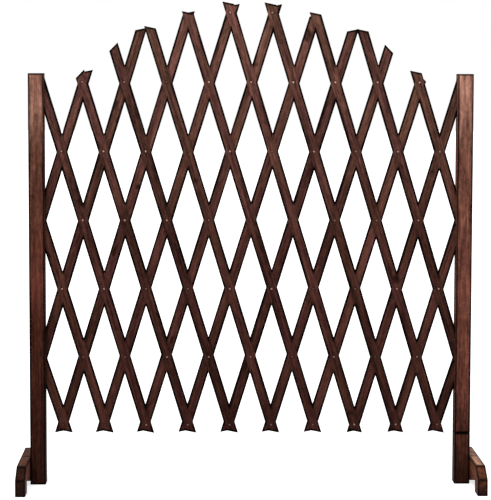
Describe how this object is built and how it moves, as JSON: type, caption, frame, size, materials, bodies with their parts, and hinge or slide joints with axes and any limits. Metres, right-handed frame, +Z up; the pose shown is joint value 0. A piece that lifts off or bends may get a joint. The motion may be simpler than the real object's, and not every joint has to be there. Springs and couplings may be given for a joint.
{
  "type": "expandable trellis",
  "caption": "Free-standing wooden trellis: a riveted scissor lattice with an arched top that spreads and folds between two grooved posts on plank feet.",
  "frame": {"origin": "on the ground, midway between the posts and halfway through their depth", "axes": "+Z up, +X along the lattice's width to the right seen from the front, -Y to the front, the side with the slats that lean left"},
  "size_m": [1.125, 0.346, 1.1761],
  "materials": {
    "slat_wood": "stained, satin",
    "post_wood": "stained, satin",
    "foot_wood": "stained, satin",
    "dowel_wood": "bare beech",
    "steel": "zinc plated"
  },
  "bodies": {
    "left_stand": {"left_post": "post_wood", "left_foot_front": "foot_wood", "left_foot_rear": "foot_wood", "left_foot_screw_front_lower": "steel", "left_foot_screw_front_upper": "steel", "left_foot_screw_rear_lower": "steel", "left_foot_screw_rear_upper": "steel", "left_pivot_pin": "steel"},
    "front_slat_01": {"front_slat_01": "slat_wood"},
    "front_slat_02": {"front_slat_02": "slat_wood"},
    "front_slat_03": {"front_slat_03": "slat_wood"},
    "front_slat_04": {"front_slat_04": "slat_wood"},
    "front_slat_05": {"front_slat_05": "slat_wood"},
    "front_slat_06": {"front_slat_06": "slat_wood"},
    "front_slat_07": {"front_slat_07": "slat_wood"},
    "front_slat_08": {"front_slat_08": "slat_wood"},
    "front_slat_09": {"front_slat_09": "slat_wood"},
    "front_slat_10": {"front_slat_10": "slat_wood"},
    "front_slat_11": {"front_slat_11": "slat_wood"},
    "front_slat_12": {"front_slat_12": "slat_wood"},
    "back_slat_01": {"back_slat_01": "slat_wood"},
    "back_slat_02": {"back_slat_02": "slat_wood"},
    "back_slat_03": {"back_slat_03": "slat_wood"},
    "back_slat_04": {"back_slat_04": "slat_wood"},
    "back_slat_05": {"back_slat_05": "slat_wood"},
    "back_slat_06": {"back_slat_06": "slat_wood"},
    "back_slat_07": {"back_slat_07": "slat_wood"},
    "back_slat_08": {"back_slat_08": "slat_wood"},
    "back_slat_09": {"back_slat_09": "slat_wood"},
    "back_slat_10": {"back_slat_10": "slat_wood"},
    "back_slat_11": {"back_slat_11": "slat_wood"},
    "back_slat_12": {"back_slat_12": "slat_wood"},
    "right_stand": {"right_post": "post_wood", "right_post_base": "post_wood", "joint_dowel_front": "dowel_wood", "joint_dowel_rear": "dowel_wood", "right_foot_front": "foot_wood", "right_foot_rear": "foot_wood", "right_foot_screw_front_lower": "steel", "right_foot_screw_front_upper": "steel", "right_foot_screw_rear_lower": "steel", "right_foot_screw_rear_upper": "steel", "right_pivot_pin": "steel"}
  },
  "joints": [
    {"name": "spread", "type": "hinge", "parent": "left_stand", "child": "back_slat_01", "pos_m": [-0.51019, 0, 0.64719], "axis": [0, 1, 0], "range_deg": [-11.8, 28]},
    {"name": "front_slat_02_pivot", "type": "hinge", "parent": "left_stand", "child": "front_slat_02", "pos_m": [-0.51019, 0, 0.64719], "axis": [0, 1, 0], "range_deg": [-28.5, 12.3]},
    {"name": "back_slat_02_pivot", "type": "hinge", "parent": "front_slat_02", "child": "back_slat_02", "pos_m": [-0.45917, 0, 0.4798], "axis": [0, 1, 0], "range_deg": [-24.1, 56.5]},
    {"name": "back_slat_03_pivot", "type": "hinge", "parent": "front_slat_02", "child": "back_slat_03", "pos_m": [-0.40815, 0, 0.3124], "axis": [0, 1, 0], "range_deg": [-24.1, 56.5]},
    {"name": "back_slat_04_pivot", "type": "hinge", "parent": "front_slat_02", "child": "back_slat_04", "pos_m": [-0.35713, 0, 0.145], "axis": [0, 1, 0], "range_deg": [-24.1, 56.5]},
    {"name": "front_slat_03_pivot", "type": "hinge", "parent": "back_slat_01", "child": "front_slat_03", "pos_m": [-0.45917, 0, 0.81459], "axis": [0, 1, 0], "range_deg": [-56.5, 24.1]},
    {"name": "front_slat_04_pivot", "type": "hinge", "parent": "back_slat_01", "child": "front_slat_04", "pos_m": [-0.40815, 0, 0.98199], "axis": [0, 1, 0], "range_deg": [-56.5, 24.1]},
    {"name": "front_slat_01_pivot", "type": "hinge", "parent": "back_slat_03", "child": "front_slat_01", "pos_m": [-0.45917, 0, 0.145], "axis": [0, 1, 0], "range_deg": [-56.5, 24.1]},
    {"name": "front_slat_05_pivot", "type": "hinge", "parent": "back_slat_04", "child": "front_slat_05", "pos_m": [-0.20408, 0, 0.64719], "axis": [0, 1, 0], "range_deg": [-56.5, 24.1]},
    {"name": "front_slat_06_pivot", "type": "hinge", "parent": "back_slat_04", "child": "front_slat_06", "pos_m": [-0.15306, 0, 0.81459], "axis": [0, 1, 0], "range_deg": [-56.5, 24.1]},
    {"name": "front_slat_07_pivot", "type": "hinge", "parent": "back_slat_04", "child": "front_slat_07", "pos_m": [-0.10204, 0, 0.98199], "axis": [0, 1, 0], "range_deg": [-56.5, 24.1]},
    {"name": "front_slat_08_pivot", "type": "hinge", "parent": "back_slat_04", "child": "front_slat_08", "pos_m": [-0.05102, 0, 1.14939], "axis": [0, 1, 0], "range_deg": [-56.5, 24.1]},
    {"name": "back_slat_05_pivot", "type": "hinge", "parent": "front_slat_08", "child": "back_slat_05", "pos_m": [0, 0, 0.98199], "axis": [0, 1, 0], "range_deg": [-24.1, 56.5]},
    {"name": "back_slat_06_pivot", "type": "hinge", "parent": "front_slat_08", "child": "back_slat_06", "pos_m": [0.05102, 0, 0.81459], "axis": [0, 1, 0], "range_deg": [-24.1, 56.5]},
    {"name": "back_slat_07_pivot", "type": "hinge", "parent": "front_slat_08", "child": "back_slat_07", "pos_m": [0.10204, 0, 0.64719], "axis": [0, 1, 0], "range_deg": [-24.1, 56.5]},
    {"name": "back_slat_08_pivot", "type": "hinge", "parent": "front_slat_08", "child": "back_slat_08", "pos_m": [0.15306, 0, 0.4798], "axis": [0, 1, 0], "range_deg": [-24.1, 56.5]},
    {"name": "back_slat_09_pivot", "type": "hinge", "parent": "front_slat_08", "child": "back_slat_09", "pos_m": [0.20408, 0, 0.3124], "axis": [0, 1, 0], "range_deg": [-24.1, 56.5]},
    {"name": "back_slat_10_pivot", "type": "hinge", "parent": "front_slat_08", "child": "back_slat_10", "pos_m": [0.25509, 0, 0.145], "axis": [0, 1, 0], "range_deg": [-24.1, 56.5]},
    {"name": "front_slat_09_pivot", "type": "hinge", "parent": "back_slat_10", "child": "front_slat_09", "pos_m": [0.30611, 0, 0.3124], "axis": [0, 1, 0], "range_deg": [-56.5, 24.1]},
    {"name": "front_slat_10_pivot", "type": "hinge", "parent": "back_slat_10", "child": "front_slat_10", "pos_m": [0.35713, 0, 0.4798], "axis": [0, 1, 0], "range_deg": [-56.5, 24.1]},
    {"name": "front_slat_11_pivot", "type": "hinge", "parent": "back_slat_10", "child": "front_slat_11", "pos_m": [0.40815, 0, 0.64719], "axis": [0, 1, 0], "range_deg": [-56.5, 24.1]},
    {"name": "front_slat_12_pivot", "type": "hinge", "parent": "back_slat_10", "child": "front_slat_12", "pos_m": [0.45917, 0, 0.81459], "axis": [0, 1, 0], "range_deg": [-56.5, 24.1]},
    {"name": "back_slat_12_pivot", "type": "hinge", "parent": "front_slat_10", "child": "back_slat_12", "pos_m": [0.45917, 0, 0.145], "axis": [0, 1, 0], "range_deg": [-24.1, 56.5]},
    {"name": "back_slat_11_pivot", "type": "hinge", "parent": "front_slat_11", "child": "back_slat_11", "pos_m": [0.45917, 0, 0.4798], "axis": [0, 1, 0], "range_deg": [-24.1, 56.5]},
    {"name": "right_stand_pivot", "type": "hinge", "parent": "front_slat_12", "child": "right_stand", "pos_m": [0.51019, 0, 0.64719], "axis": [0, 1, 0], "range_deg": [-12.3, 28.5]}
  ],
  "couplings": [
    {"joint": "front_slat_02_pivot", "follows": "spread", "ratio": -1},
    {"joint": "back_slat_02_pivot", "follows": "spread", "ratio": 2},
    {"joint": "back_slat_03_pivot", "follows": "spread", "ratio": 2},
    {"joint": "back_slat_04_pivot", "follows": "spread", "ratio": 2},
    {"joint": "front_slat_03_pivot", "follows": "spread", "ratio": -2},
    {"joint": "front_slat_04_pivot", "follows": "spread", "ratio": -2},
    {"joint": "front_slat_01_pivot", "follows": "spread", "ratio": -2},
    {"joint": "front_slat_05_pivot", "follows": "spread", "ratio": -2},
    {"joint": "front_slat_06_pivot", "follows": "spread", "ratio": -2},
    {"joint": "front_slat_07_pivot", "follows": "spread", "ratio": -2},
    {"joint": "front_slat_08_pivot", "follows": "spread", "ratio": -2},
    {"joint": "back_slat_05_pivot", "follows": "spread", "ratio": 2},
    {"joint": "back_slat_06_pivot", "follows": "spread", "ratio": 2},
    {"joint": "back_slat_07_pivot", "follows": "spread", "ratio": 2},
    {"joint": "back_slat_08_pivot", "follows": "spread", "ratio": 2},
    {"joint": "back_slat_09_pivot", "follows": "spread", "ratio": 2},
    {"joint": "back_slat_10_pivot", "follows": "spread", "ratio": 2},
    {"joint": "front_slat_09_pivot", "follows": "spread", "ratio": -2},
    {"joint": "front_slat_10_pivot", "follows": "spread", "ratio": -2},
    {"joint": "front_slat_11_pivot", "follows": "spread", "ratio": -2},
    {"joint": "front_slat_12_pivot", "follows": "spread", "ratio": -2},
    {"joint": "back_slat_12_pivot", "follows": "spread", "ratio": 2},
    {"joint": "back_slat_11_pivot", "follows": "spread", "ratio": 2},
    {"joint": "right_stand_pivot", "follows": "spread", "ratio": 1}
  ]
}
